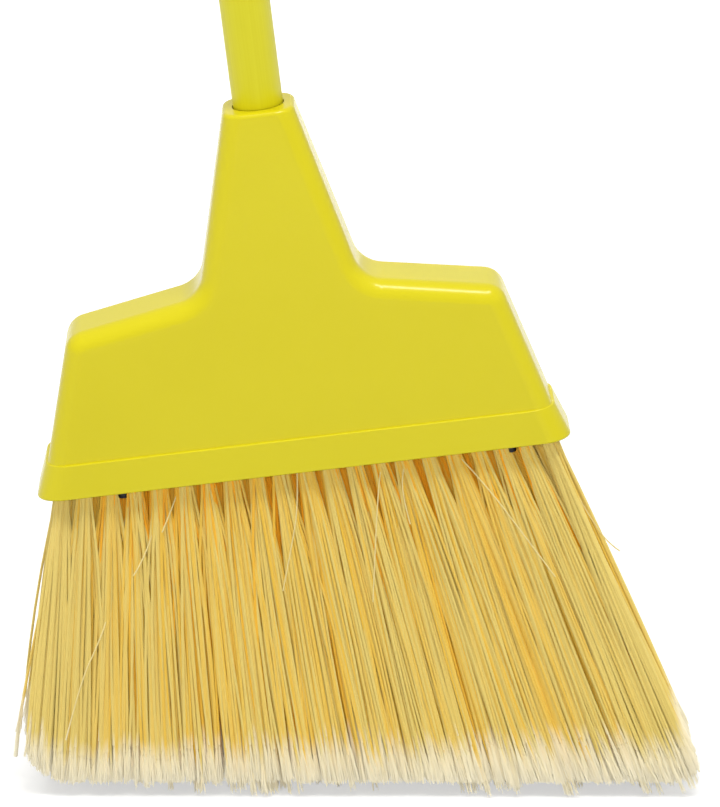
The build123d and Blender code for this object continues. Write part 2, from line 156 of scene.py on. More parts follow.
# Drawn polymer filament: straw with little gloss, and painted amber glow where light would come through
# other strands; each strand with its own shade, and the split end milky
filament = {
    # amber: painted glow, standing for light that has come through other strands
    "amber": "#fab428",
    "straw": "#eec850",
    "pale": "#e8d37c",
    "flag": "#f6f0da",
    "lineWidth": 0.0003,
    "lineStretch": 0.03,
    "bump": 0.1,
    "bumpDepth": 0.0001,
    "ior": 1.5,
    "roughness": 0.5,
    "flagRoughness": 0.8,
    "softness": 1.0,  # light spreads inside each strand, so it looks flat rather than round
    "gloss": 0.15,  # packed strands hide most of each other's gloss
}


def makeFilament():
    material, add, place = newMaterial("drawnFilament")
    # shade runs from amber to pale; its amber end is painted glow of light through other strands
    shade = add("ShaderNodeAttribute", attribute_name="shade").outputs["Fac"]
    flag = add("ShaderNodeAttribute", attribute_name="flag").outputs["Fac"]
    ramp = add("ShaderNodeValToRGB", {"Fac": shade})
    ramp.color_ramp.elements[0].color = toLinear(filament["amber"])
    ramp.color_ramp.elements[1].color = toLinear(filament["pale"])
    ramp.color_ramp.elements.new(0.5).color = toLinear(filament["straw"])
    colours = {"A": ramp, "B": toLinear(filament["flag"])}
    colour = add("ShaderNodeMix", {"Factor": flag, **colours}, data_type="RGBA")
    ends = {"To Min": filament["roughness"], "To Max": filament["flagRoughness"]}
    rough = add("ShaderNodeMapRange", {"Value": flag, **ends})
    drawn = add("ShaderNodeMapping", {"Vector": place, "Scale": (1.0, 1.0, filament["lineStretch"])})
    size = 1 / filament["lineWidth"]
    lines = add("ShaderNodeTexNoise", {"Vector": drawn, "Scale": size, "Detail": 1.0})
    depth = {"Strength": filament["bump"], "Distance": filament["bumpDepth"]}
    bump = add("ShaderNodeBump", {**depth, "Height": lines})
    feeds = {"Base Color": colour, "Roughness": rough, "Normal": bump, "IOR": filament["ior"]}
    feeds |= {"Diffuse Roughness": filament["softness"], "Specular IOR Level": filament["gloss"]}
    add("ShaderNodeOutputMaterial", {"Surface": add("ShaderNodeBsdfPrincipled", feeds)})
    return material


# Hidden metal and plastic: blackened, drawn or galvanised steel that is cloudy or streaked along its
# length, and dark moulded nylon. For each: two colours, grain size and its stretch, roughness, metallic
plainStock = {
    "blackScrewSteel": ("#232325", "#353437", 0.0012, 1.0, 0.42, 1.0),
    "drawnTubeSteel": ("#b4b7ba", "#c9cbcc", 0.0015, 0.02, 0.3, 1.0),
    "galvanisedWire": ("#a4a8ab", "#bfc2c4", 0.001, 1.0, 0.36, 1.0),
    "mouldedNylon": ("#1c1c1e", "#29292b", 0.0008, 1.0, 0.5, 0.0),
    "grainRange": (0.35, 0.65),  # of the noise, between the two colours
    "roughChange": 0.08,
    "bump": 0.1,
    "bumpDepth": 0.0001,
}


def makeStock(name):
    colour, otherColour, grainSize, stretch, rough, metallic = plainStock[name]
    material, add, place = newMaterial(name)
    turned = add("ShaderNodeMapping", {"Vector": place, "Rotation": (0, stance["lean"], 0)})
    drawn = add("ShaderNodeMapping", {"Vector": turned, "Scale": (1.0, 1.0, stretch)})
    grain = add("ShaderNodeTexNoise", {"Vector": drawn, "Scale": 1 / grainSize, "Detail": 3.0})
    low, high = plainStock["grainRange"]
    share = add("ShaderNodeMapRange", {"Value": grain, "From Min": low, "From Max": high})
    colours = {"A": toLinear(colour), "B": toLinear(otherColour)}
    mixed = add("ShaderNodeMix", {"Factor": share, **colours}, data_type="RGBA")
    change = plainStock["roughChange"]
    rough = add("ShaderNodeMapRange", {"Value": grain, "To Min": rough - change, "To Max": rough + change})
    depth = {"Strength": plainStock["bump"], "Distance": plainStock["bumpDepth"]}
    bump = add("ShaderNodeBump", {**depth, "Height": grain})
    feeds = {"Base Color": mixed, "Roughness": rough, "Normal": bump, "Metallic": metallic}
    add("ShaderNodeOutputMaterial", {"Surface": add("ShaderNodeBsdfPrincipled", feeds)})
    return material


headMaterial = makeHeadPlastic()
handleMaterial = makeHandlePlastic()
filamentMaterial = makeFilament()
carried = {  # CAD nodes that keep their own mesh
    "tuft_block": headMaterial,
    "block_screws": makeStock("blackScrewSteel"),
    "handle_core": makeStock("drawnTubeSteel"),
    "tuft_anchors": makeStock("galvanisedWire"),
    "thread_tip": makeStock("mouldedNylon"),
}
carried["tip_pin"] = carried["tuft_anchors"]
carried["cap_bush"] = carried["thread_tip"]
for node, material in carried.items():
    frame["nodes"][node].data.materials.clear()
    frame["nodes"][node].data.materials.append(material)
print("materials made")

# Tufts: each row of holes, and how its strands fan out to the slanted cut
tuftRows = {
    "pitch": 0.01176949,
    "rowGap": 0.009,
    "rootRadius": 0.0034,
    "rootLift": 0.004,  # into the block's hole
    "length": 0.1695,
    "fan": 0.32,  # between the end tufts, at the cut
    "fanShift": 0.013,
    "spreadX": 0.0122,  # of one tuft's strands at the cut
    "spreadY": 0.0085,
    "bow": 0.0034,
    "clumps": 8,
    "strands": 60,
    "strandWidth": 0.0014,
    "segments": 7,
    "trim": 0.0072,  # how far most strands end above the longest clumps
    "endRise": 0.012,  # how far the cut rises at the two ends of the fan
    "endStart": 0.9,  # from this share of half the fan
    "flagLength": 0.02,
    "hairs": 10,
    "hairWidth": 0.00075,
    "hairSpread": 0.0015,
    "sliceSize": (0.2433898, 0.0089, 0.0012),
    "habits": {  # how the strands of a tuft differ, as shares: a pair is a gain and what is added
        "crowding": 1.6,  # above 1, a strand's points gather towards its end
        "strandMilk": (6.0, -5.4),  # milky over the last tenth of the strand
        "hairMilk": (0.6, 0.6),
        "hairTaper": (-0.6, 1.0),
        "hairPoints": 2,
        "strandSides": 5,
        "hairSides": 3,
        "flagByStrand": (0.3, 0.55),  # of the flag length
        "flagByClump": 0.6,
        "hairShortage": -0.12,
        "strandOverlap": 0.015,  # a strand runs on among its hairs
        "wanderPower": 4.0,  # high, so that few strands wander
        "wander": (1.1, 0.25),
        "discSpread": 0.58,
        "clumpSpread": 0.2,
        "outerDepth": (-1.4, 0.4),  # strands of the outer rows crowd to the outside
        "innerDepth": 1.4,
        "endPower": 10.0,  # high, so that only the end tufts are held in
        "endGrip": (-0.3, -0.6),  # more at the right end than at the left
        "endBow": (-0.6, 1.0),
        "overhang": 0.4,
        "endCurve": 2.0,
        "longByStrand": 0.06,
        "longPower": 16.0,  # high, so that few clumps are long
        "shortByStrand": (0.15, 1.0),
        "clumpBow": 1.4,
        "strandBow": (2.6, 1.0, 0.0),
        "outerPaintedGlow": (-1.1, 0.52),  # painted glow by depth in the row: 0 is amber, 1 is pale
        # the two inner rows are painted amber all through, as glow of light through the outer rows
        "innerPaintedGlow": -0.3,
        "endShadePower": 8.0,
        "endShade": (0.1, 0.8),  # by row, from front to back: how much of the painted amber glow the end tufts lose
        "clumpShade": 0.15,
        "strandShade": 0.6,
    },
    "rows": [  # piece, CAD node, tufts, depth at the holes, depth at the floor, seed
        ("front_bristles", "front_tuft_row", 21, -0.0135, -0.0265, 11),
        ("second_bristles", "second_tuft_row", 20, -0.0045, -0.009, 23),
        ("third_bristles", "third_tuft_row", 20, 0.0045, 0.009, 37),
        ("back_bristles", "back_tuft_row", 21, 0.0135, 0.0265, 53),
    ],
}
rowInputs = [  # the tree's inputs: name, socket, value for every row (None where it differs by row)
    ("Tufts", "NodeSocketInt", None),
    ("Hole Depth", "NodeSocketFloat", None),
    ("Floor Depth", "NodeSocketFloat", None),
    ("Seed", "NodeSocketInt", None),
    ("Pitch", "NodeSocketFloat", tuftRows["pitch"]),
    ("Row Gap", "NodeSocketFloat", tuftRows["rowGap"]),
    ("Root Radius", "NodeSocketFloat", tuftRows["rootRadius"]),
    ("Root Lift", "NodeSocketFloat", tuftRows["rootLift"]),
    ("Length", "NodeSocketFloat", tuftRows["length"]),
    ("Cut Slope", "NodeSocketFloat", tan(stance["lean"])),
    ("Fan Ratio", "NodeSocketFloat", None),
    ("Fan Shift", "NodeSocketFloat", tuftRows["fanShift"]),
    ("Spread", "NodeSocketVector", (tuftRows["spreadX"], tuftRows["spreadY"], 0.0)),
    ("Bow", "NodeSocketFloat", tuftRows["bow"]),
    ("Clumps", "NodeSocketInt", tuftRows["clumps"]),
    ("Strands", "NodeSocketInt", tuftRows["strands"]),
    ("Strand Width", "NodeSocketFloat", tuftRows["strandWidth"]),
    ("Segments", "NodeSocketInt", tuftRows["segments"]),
    ("Trim", "NodeSocketFloat", tuftRows["trim"]),
    ("End Rise", "NodeSocketFloat", tuftRows["endRise"]),
    ("End Start", "NodeSocketFloat", tuftRows["endStart"]),
    ("Flag Share", "NodeSocketFloat", tuftRows["flagLength"] / tuftRows["length"]),
    ("Hairs", "NodeSocketInt", tuftRows["hairs"]),
    ("Hair Width", "NodeSocketFloat", tuftRows["hairWidth"]),
    ("Hair Spread", "NodeSocketFloat", tuftRows["hairSpread"]),
    ("Slice", "NodeSocketVector", tuftRows["sliceSize"]),
    ("Mouth", "NodeSocketVector", tuple(mouth)),
    ("Lean", "NodeSocketVector", (0.0, -stance["lean"], 0.0)),
    ("Filament", "NodeSocketMaterial", filamentMaterial),
    ("Block", "NodeSocketMaterial", headMaterial),
]


def makeRowTree():
    tree = bpy.data.node_groups.new("tuftedRow", "GeometryNodeTree")
    tree.interface.new_socket("Geometry", in_out="OUTPUT", socket_type="NodeSocketGeometry")
    for name, socket, _ in rowInputs:
        tree.interface.new_socket(name, in_out="INPUT", socket_type=socket)
    add = partial(addNode, tree)
    given = add("NodeGroupInput").outputs
    maths, vectors, mix = "ShaderNodeMath", "ShaderNodeVectorMath", "ShaderNodeMix"
    parts, joined = "ShaderNodeSeparateXYZ", "ShaderNodeCombineXYZ"
    store, stored = "GeometryNodeStoreNamedAttribute", "GeometryNodeInputNamedAttribute"
    habits = tuftRows["habits"]

    # Bare curves: one for each strand, and a few fine hairs that carry on from its end
    line = add("GeometryNodeCurvePrimitiveLine")
    total = add(maths, [given["Tufts"], given["Strands"]], operation="MULTIPLY")
    hairTotal = add(maths, [total, given["Hairs"]], operation="MULTIPLY")
    owner = add("GeometryNodeCurveOfPoint").outputs["Curve Index"]
    factor = add("GeometryNodeSplineParameter").outputs["Factor"]
    hairOwner = add(maths, [owner, given["Hairs"]], operation="DIVIDE")
    hairOwner = add(maths, [hairOwner], operation="FLOOR")
    strandShare = add(maths, [1.0, factor], operation="SUBTRACT")
    strandShare = add(maths, [strandShare, habits["crowding"]], operation="POWER")
    strandShare = add(maths, [1.0, strandShare], operation="SUBTRACT")
    strandFlag = add(maths, [factor, *habits["strandMilk"]], operation="MULTIPLY_ADD", use_clamp=True)
    hairFlag = add(maths, [factor, *habits["hairMilk"]], operation="MULTIPLY_ADD", use_clamp=True)
    hairTaper = add(maths, [factor, *habits["hairTaper"]], operation="MULTIPLY_ADD")
    hairWidth = add(maths, [given["Hair Width"], hairTaper], operation="MULTIPLY")
    strandKeeps = {"strand": owner, "share": strandShare, "flag": strandFlag}
    strandKeeps |= {"width": given["Strand Width"]}
    hairKeeps = {"strand": hairOwner, "hair": owner, "isHair": 1.0}
    hairKeeps |= {"share": factor, "flag": hairFlag, "width": hairWidth}
    sets = []
    for count, amount, keeps in (  # points along, how many, and what each keeps
        (given["Segments"], total, strandKeeps),
        (habits["hairPoints"], hairTotal, hairKeeps),
    ):
        path = add("GeometryNodeResampleCurve", {"Curve": line, "Count": count})
        path = add("GeometryNodeDuplicateElements", {"Geometry": path, "Amount": amount}, domain="SPLINE")
        for name, value in keeps.items():
            kind = "INT" if name in ("strand", "hair") else "FLOAT"
            path = add(store, {"Geometry": path, "Name": name, "Value": value}, data_type=kind)
        sets.append(path)
    curves = add("GeometryNodeJoinGeometry", {"Geometry": sets})
    strand, hair = (add(stored, {"Name": name}, data_type="INT") for name in ("strand", "hair"))
    share, isHair, width, inSlice = (
        add(stored, {"Name": name}, data_type="FLOAT") for name in ("share", "isHair", "width", "slice")
    )

    # Which tuft and clump a strand is in, and its place in the round hole
    tuft = add(maths, [strand, given["Strands"]], operation="DIVIDE")
    tuft = add(maths, [tuft], operation="FLOOR")
    middle = add(maths, [given["Tufts"], 0.5, -0.5], operation="MULTIPLY_ADD")
    across = add(maths, [tuft, middle], operation="SUBTRACT")
    across = add(maths, [across, given["Pitch"]], operation="MULTIPLY")
    luck = add("FunctionNodeRandomValue", {"ID": strand, "Seed": given["Seed"]}, data_type="FLOAT_VECTOR")
    luck = add(parts, [luck]).outputs
    clump = add(maths, [luck[0], given["Clumps"]], operation="MULTIPLY")
    clump = add(maths, [clump], operation="FLOOR")
    clump = add(maths, [tuft, given["Clumps"], clump], operation="MULTIPLY_ADD")
    draws = {}
    for step, (name, who, low) in enumerate(
        [
            ("clumpWay", clump, -1.0),
            ("strandWay", strand, -1.0),
            ("clumpLuck", clump, 0.0),
            ("clumpBow", clump, -1.0),
            ("strandBow", strand, -1.0),
            ("hairWay", hair, -1.0),
            ("hairLuck", hair, 0.0),
            ("strandLuck", strand, 0.0),
        ],
        start=1,
    ):
        seed = add(maths, [given["Seed"], step], operation="ADD")
        limits = {"Min": (low, low, low), "Max": (1.0, 1.0, 1.0)}
        draws[name] = add(
            "FunctionNodeRandomValue", {**limits, "ID": who, "Seed": seed}, data_type="FLOAT_VECTOR"
        )
    clumpLuck, hairLuck, strandLuck = (
        add(parts, [draws[name]]).outputs for name in ("clumpLuck", "hairLuck", "strandLuck")
    )
    angle = add(maths, [luck[0], 2 * pi], operation="MULTIPLY")
    reach = add(maths, [luck[1], 0.5], operation="POWER")
    disc = add(joined, [add(maths, [angle], operation="COSINE"), add(maths, [angle], operation="SINE")])
    disc = add(vectors, {"Vector": disc, "Scale": reach}, operation="SCALE")

    # How far along the bristle a point is: a strand stops where its hairs start, a hair by the cut
    flagSize = add(maths, [strandLuck[0], *habits["flagByStrand"]], operation="MULTIPLY_ADD")
    flagSize = add(maths, [clumpLuck[2], habits["flagByClump"], flagSize], operation="MULTIPLY_ADD")
    flagSize = add(maths, [flagSize, given["Flag Share"]], operation="MULTIPLY")
    solidShare = add(maths, [1.0, flagSize], operation="SUBTRACT")
    shortage = add(maths, [flagSize, habits["hairShortage"]], operation="MULTIPLY")
    hairEnd = add(maths, [hairLuck[0], shortage, 1.0], operation="MULTIPLY_ADD")
    hairAlong = add(mix, {"Factor": share, "A": solidShare, "B": hairEnd})
    strandEnd = add(maths, [solidShare, habits["strandOverlap"]], operation="ADD")
    strandAlong = add(maths, [share, strandEnd], operation="MULTIPLY")
    along = add(mix, {"Factor": isHair, "A": strandAlong, "B": hairAlong})

    # Where a strand lands: the row's fan, the tuft's own spread and a few that wander
    wander = add(maths, [strandLuck[1], habits["wanderPower"]], operation="POWER")
    wander = add(maths, [wander, *habits["wander"]], operation="MULTIPLY_ADD")
    spread = add(vectors, {"Vector": disc, "Scale": habits["discSpread"]}, operation="SCALE")
    for way, amount in ((draws["clumpWay"], habits["clumpSpread"]), (draws["strandWay"], wander)):
        way = add(vectors, {"Vector": way, "Scale": amount}, operation="SCALE")
        spread = add(vectors, [spread, way], operation="ADD")
    side = add(maths, [given["Hole Depth"]], operation="SIGN")
    rowPlace = add(maths, [given["Hole Depth"], given["Row Gap"]], operation="DIVIDE")  # -1.5 to 1.5
    isOuter = add(maths, [add(maths, [rowPlace], operation="ABSOLUTE"), 1.0], operation="GREATER_THAN")
    inset = add(maths, [luck[2], luck[2]], operation="MULTIPLY")
    crowded = add(maths, [inset, *habits["outerDepth"]], operation="MULTIPLY_ADD")
    crowded = add(maths, [crowded, side], operation="MULTIPLY")
    spreadParts = add(parts, [spread]).outputs
    loose = add(maths, [spreadParts[1], habits["innerDepth"]], operation="MULTIPLY")
    spreadY = add(mix, {"Factor": isOuter, "A": loose, "B": crowded})
    spread = add(joined, [spreadParts[0], spreadY])
    spread = add(vectors, [spread, given["Spread"]], operation="MULTIPLY")

    # Strands on the outside of the two end tufts are held in, so that the fan has a clean edge
    halfRow = add(maths, [middle, given["Pitch"]], operation="MULTIPLY")
    endRatio = add(maths, [add(maths, [across], operation="ABSOLUTE"), halfRow], operation="DIVIDE")
    endness = add(maths, [endRatio, habits["endPower"]], operation="POWER")
    outward = add(maths, [spreadParts[0], across], operation="MULTIPLY")
    outward = add(maths, [outward, 0.0], operation="GREATER_THAN")
    outward = add(maths, [outward, endness], operation="MULTIPLY")
    grip = add(maths, [across], operation="SIGN")
    grip = add(maths, [grip, *habits["endGrip"]], operation="MULTIPLY_ADD")
    tight = add(joined, [add(maths, [outward, grip, 1.0], operation="MULTIPLY_ADD"), 1.0, 1.0])
    spread = add(vectors, [spread, tight], operation="MULTIPLY")
    fan = add(maths, [across, given["Fan Ratio"], given["Fan Shift"]], operation="MULTIPLY_ADD")
    landing = add(joined, [fan, given["Floor Depth"]])
    landingX = add(parts, [add(vectors, [landing, spread], operation="ADD")])

    # The slanted cut: lower at clumps that were left long, higher at the two ends of the fan
    overhang = add(maths, [add(parts, [given["Spread"]]), habits["overhang"]], operation="MULTIPLY")
    halfFan = add(maths, [halfRow, given["Fan Ratio"], overhang], operation="MULTIPLY_ADD")
    past = add(maths, [landingX, given["Fan Shift"]], operation="SUBTRACT")
    past = add(maths, [add(maths, [past], operation="ABSOLUTE"), halfFan], operation="DIVIDE")
    past = add("ShaderNodeMapRange", {"Value": past, "From Min": given["End Start"]}, clamp=False)
    past = add(maths, [past, 0.0], operation="MAXIMUM")
    past = add(maths, [past, habits["endCurve"]], operation="POWER")
    rise = add(maths, [past, given["End Rise"]], operation="MULTIPLY")
    long = add(maths, [strandLuck[0], habits["longByStrand"], clumpLuck[0]], operation="MULTIPLY_ADD")
    long = add(maths, [long, habits["longPower"]], operation="POWER", use_clamp=True)
    short = add(maths, [strandLuck[0], *habits["shortByStrand"]], operation="MULTIPLY_ADD")
    short = add(maths, [short, long], operation="SUBTRACT")
    rise = add(maths, [short, given["Trim"], rise], operation="MULTIPLY_ADD")
    cut = add(maths, [landingX, given["Cut Slope"], given["Length"]], operation="MULTIPLY_ADD")
    cut = add(maths, [rise, cut], operation="SUBTRACT")

    # From its hole to the cut, strands open out from the tuft's middle, bow a little, and hairs flare
    root = add(joined, [across, given["Hole Depth"], given["Root Lift"]])
    tip = add(vectors, [landing, add(joined, {"Z": cut})], operation="ADD")
    place = add(mix, {"Factor": along, "A": root, "B": tip}, data_type="VECTOR")
    opening = add(maths, [2.0, along], operation="SUBTRACT")  # fast at first, then less
    opening = add(maths, [opening, along], operation="MULTIPLY")
    bundle = add(vectors, {"Vector": disc, "Scale": given["Root Radius"]}, operation="SCALE")
    bundle = add(vectors, [bundle, tight], operation="MULTIPLY")
    aside = add(mix, {"Factor": opening, "A": bundle, "B": spread}, data_type="VECTOR")
    belly = add(maths, [along, add(maths, [1.0, along], operation="SUBTRACT")], operation="MULTIPLY")
    belly = add(maths, [belly, given["Bow"]], operation="MULTIPLY")
    endBow = add(maths, [endness, *habits["endBow"]], operation="MULTIPLY_ADD")
    belly = add(maths, [belly, endBow], operation="MULTIPLY")
    clumpBow = add(joined, [add(maths, [belly, habits["clumpBow"]], operation="MULTIPLY")])
    strandBow = add(vectors, [habits["strandBow"], belly], operation="MULTIPLY")
    flare = add(maths, [isHair, share], operation="MULTIPLY")
    flare = add(maths, [flare, given["Hair Spread"]], operation="MULTIPLY")
    for name, amount in (("clumpBow", clumpBow), ("strandBow", strandBow), ("hairWay", flare)):
        aside = add(vectors, [draws[name], amount, aside], operation="MULTIPLY_ADD")
    aside = add(vectors, [aside, (1.0, 1.0, 0.0)], operation="MULTIPLY")  # it lengthens no strand
    place = add(vectors, [place, aside], operation="ADD")
    curves = add("GeometryNodeSetPosition", {"Geometry": curves, "Position": place})

    # Shade: strands inside the head of bristles are painted amber, as glow of light through the others
    outerPaintedGlow = add(maths, [inset, *habits["outerPaintedGlow"]], operation="MULTIPLY_ADD")
    shade = add(mix, {"Factor": isOuter, "A": habits["innerPaintedGlow"], "B": outerPaintedGlow})
    # the end tufts are painted paler, losing some of that glow; each clump and strand adds a random tone
    # of its own
    endShade = add(maths, [endRatio, habits["endShadePower"]], operation="POWER")
    endGain = add(maths, [rowPlace, *habits["endShade"]], operation="MULTIPLY_ADD")
    shade = add(maths, [endShade, endGain, shade], operation="MULTIPLY_ADD")
    shade = add(maths, [clumpLuck[1], habits["clumpShade"], shade], operation="MULTIPLY_ADD")
    shade = add(maths, [strandLuck[2], habits["strandShade"], shade], operation="MULTIPLY_ADD")
    curves = add(store, {"Geometry": curves, "Name": "shade", "Value": shade}, data_type="FLOAT")

    # Round strands and hairs, with the slice of the block that they stand in, at the broom's lean
    parted = {"Geometry": curves, "Selection": isHair}
    parted = add("GeometryNodeSeparateGeometry", parted, domain="CURVE").outputs
    solids = []
    for made, sides, smooth in (
        (parted["Inverted"], habits["strandSides"], True),
        (parted["Selection"], habits["hairSides"], False),
    ):
        ring = add("GeometryNodeCurvePrimitiveCircle", {"Resolution": sides, "Radius": 0.5})
        tube = {"Curve": made, "Profile Curve": ring, "Scale": width, "Fill Caps": True}
        solid = add("GeometryNodeCurveToMesh", tube)
        solids.append(add("GeometryNodeSetShadeSmooth", {"Geometry": solid, "Shade Smooth": smooth}))
    slab = add("GeometryNodeMeshCube", {"Size": given["Slice"]})
    lift = add(maths, [add(parts, [given["Slice"]]).outputs[2], 0.5], operation="MULTIPLY")
    seat = add(joined, {"Y": given["Hole Depth"], "Z": lift})
    slab = add("GeometryNodeSetPosition", {"Geometry": slab, "Offset": seat})
    slab = add(store, {"Geometry": slab, "Name": "slice", "Value": 1.0}, data_type="FLOAT")
    whole = add("GeometryNodeJoinGeometry", {"Geometry": [*solids, slab]})
    stand = {"Translation": given["Mouth"], "Rotation": given["Lean"]}
    whole = add("GeometryNodeTransform", {"Geometry": whole, **stand})
    whole = add("GeometryNodeRealizeInstances", [whole])
    whole = add("GeometryNodeSetMaterial", {"Geometry": whole, "Material": given["Filament"]})
    isSlice = add("FunctionNodeCompare", {"A": inSlice, "B": 0.5}, operation="GREATER_THAN")
    block = {"Selection": isSlice, "Material": given["Block"]}
    whole = add("GeometryNodeSetMaterial", {"Geometry": whole, **block})
    add("NodeGroupOutput", [whole])
    return tree


def addPiece(name, mesh, body, slot, *nodes):  # a finished mesh that rides on a body in place of CAD nodes
    piece = bpy.data.objects.new(name, mesh)
    scene.collection.objects.link(piece)
    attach(piece, body)
    if nodes:
        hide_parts(*nodes)
    return piece


rowTree = makeRowTree()
for pieceName, node, tufts, holeDepth, floorDepth, seed in tuftRows["rows"]:
    maker = bpy.data.objects.new(pieceName + "_maker", bpy.data.meshes.new(pieceName + "_maker"))
    scene.collection.objects.link(maker)
    modifier = maker.modifiers.new("tuftedRow", "NODES")
    modifier.node_group = rowTree
    own = {"Tufts": tufts, "Hole Depth": holeDepth, "Floor Depth": floorDepth, "Seed": seed}
    own["Fan Ratio"] = tuftRows["fan"] / ((tufts - 1) * tuftRows["pitch"])  # all four rows end on one line
    for name, _, value in rowInputs:
        item = next(i for i in rowTree.interface.items_tree if i.name == name and i.in_out == "INPUT")
        modifier[item.identifier] = own.get(name, value)
    evaluated = maker.evaluated_get(bpy.context.evaluated_depsgraph_get())
    mesh = bpy.data.meshes.new_from_object(evaluated)
    mesh.name = pieceName
    bpy.data.objects.remove(maker)
    addPiece(pieceName, mesh, "head", "bristle", node)
    print("row of tufts:", pieceName, len(mesh.polygons), "faces")

# Loose bristles: points in millimetres on the broom's own axes, from the block outwards
looseBristles = {
    "width": 0.0007,
    "bevelSteps": 1,
    "curveSteps": 6,
    "curveOrder": 3,
    "splitEnd": 3.0,  # how much wider the first one's end is
    "splitPoints": 2,
    "splitStart": 0.1,  # ends turn milky from this far below the block
    "splitFade": 0.03,  # over this length
    "leastMilk": 0.25,  # none is as amber as those in a tuft
    "paths": [
        [
            (-120.0, -11.0, 3.0),
            (-131.0, -9.0, -40.0),
            (-142.5, -9.0, -75.0),
            (-153.0, -9.0, -106.3),
            (-158.0, -9.0, -125.0),
            (-160.6, -9.0, -136.0),
        ],
        [
            (117.0, -12.0, 3.0),
            (128.8, -10.0, -30.8),
            (138.0, -10.0, -51.9),
            (143.5, -10.0, -60.6),
            (147.6, -10.0, -64.3),
        ],
        [
            (70.0, -15.0, 3.0),
            (76.1, -16.0, -4.6),
            (86.9, -19.5, -19.9),
            (96.3, -23.0, -35.1),
            (114.3, -27.0, -66.7),
        ],
        [
            (38.5, -15.0, 3.0),
            (36.9, -16.5, -3.3),
            (33.9, -20.0, -15.8),
            (29.2, -25.0, -43.0),
            (25.1, -27.0, -68.7),
        ],
        [(49.5, -15.0, 3.0), (48.1, -16.5, -3.1), (45.0, -19.5, -16.5), (47.6, -22.0, -32.6)],
        [
            (-83.0, -9.0, 3.0),
            (-98.0, -13.0, -45.0),
            (-104.5, -22.5, -64.0),
            (-110.8, -27.0, -75.1),
            (-120.9, -29.5, -91.3),
            (-132.2, -32.0, -120.2),
        ],
        [(-3.2, -15.5, 3.0), (-4.9, -19.2, -17.1), (-11.2, -21.0, -39.0), (-17.7, -22.0, -59.5)],
        [(-58.0, -13.0, 3.0), (-67.7, -17.0, -15.9), (-71.9, -21.4, -22.0)],
        [(-66.0, -13.0, 3.0), (-78.1, -16.0, -31.8), (-88.5, -24.0, -41.7)],
    ],
}


def makeLooseBristles():
    curve = bpy.data.curves.new("loose_bristles", "CURVE")
    curve.dimensions = "3D"
    curve.bevel_depth = looseBristles["width"] / 2
    curve.bevel_resolution = looseBristles["bevelSteps"]
    curve.resolution_u = looseBristles["curveSteps"]
    curve.use_fill_caps = True
    for path in looseBristles["paths"]:
        spline = curve.splines.new("NURBS")
        spline.points.add(len(path) - 1)
        for point, spot in zip(spline.points, path):
            point.co = (*(broomMatrix @ (Vector(spot) / 1000)), 1.0)
        if path is looseBristles["paths"][0]:
            for point in spline.points[-looseBristles["splitPoints"] :]:
                point.radius = looseBristles["splitEnd"]
        spline.order_u = looseBristles["curveOrder"]
        spline.use_endpoint_u = True
    maker = bpy.data.objects.new("loose_maker", curve)
    scene.collection.objects.link(maker)
    mesh = bpy.data.meshes.new_from_object(maker.evaluated_get(bpy.context.evaluated_depsgraph_get()))
    bpy.data.objects.remove(maker)
    mesh.name = "loose_bristles"
    drops = [-(broomMatrix.inverted() @ v.co).z - looseBristles["splitStart"] for v in mesh.vertices]
    least, fade = looseBristles["leastMilk"], looseBristles["splitFade"]
    flags = [min(max(drop / fade, least), 1.0) for drop in drops]
    # the palest shade: none of the painted amber glow that the tufts get
    for name, values in (("shade", [1.0] * len(flags)), ("flag", flags)):
        layer = mesh.attributes.new(name, "FLOAT", "POINT")
        layer.data.foreach_set("value", values)
    mesh.materials.clear()
    mesh.materials.append(filamentMaterial)
    return mesh


addPiece("loose_bristles", makeLooseBristles(), "head", "bristle")
print("loose bristles made")

# Handle skin: a smooth drawn tube in place of the faceted CAD one
handleSkin = {
    "radius": 0.0119,
    "bore": 0.01155,
    "foot": 0.1369,
    "length": 1.219,
    "edge": 0.0003,
    "sides": 96,
    "sharpAngle": radians(50),  # an edge between faces stays sharp from here
}


def makeHandleSkin():
    outer, bore, edge, foot = (handleSkin[name] for name in ("radius", "bore", "edge", "foot"))
    top, sides = foot + handleSkin["length"], handleSkin["sides"]
    profile = [(bore, foot), (outer - edge, foot), (outer, foot + edge)]
    profile += [(outer, top - edge), (outer - edge, top), (bore, top)]
    turns = [2 * pi * i / sides for i in range(sides)]
    shape = bmesh.new()
    rings = []
    for radius, height in profile:
        rings.append([shape.verts.new((radius * cos(a), radius * sin(a), height)) for a in turns])
    for low, high in zip(rings, rings[1:] + rings[:1]):
        for i in range(sides):
            j = (i + 1) % sides
            shape.faces.new((low[i], low[j], high[j], high[i])).smooth = True
    bmesh.ops.recalc_face_normals(shape, faces=shape.faces)
    for edgeLine in shape.edges:
        edgeLine.smooth = edgeLine.calc_face_angle(0.0) < handleSkin["sharpAngle"]
    mesh = bpy.data.meshes.new("handle_skin")
    shape.to_mesh(mesh)
    shape.free()
    mesh.transform(broomMatrix)
    mesh.materials.append(handleMaterial)
    return mesh


addPiece("handle_skin", makeHandleSkin(), "handle", "handle_skin", "handle_sleeve")
print("handle made")

# Head and hanging eye: the CAD shapes, merged and smoothly shaded
mouldings = {"mergeDistance": 1e-6, "sharpAngle": radians(32)}


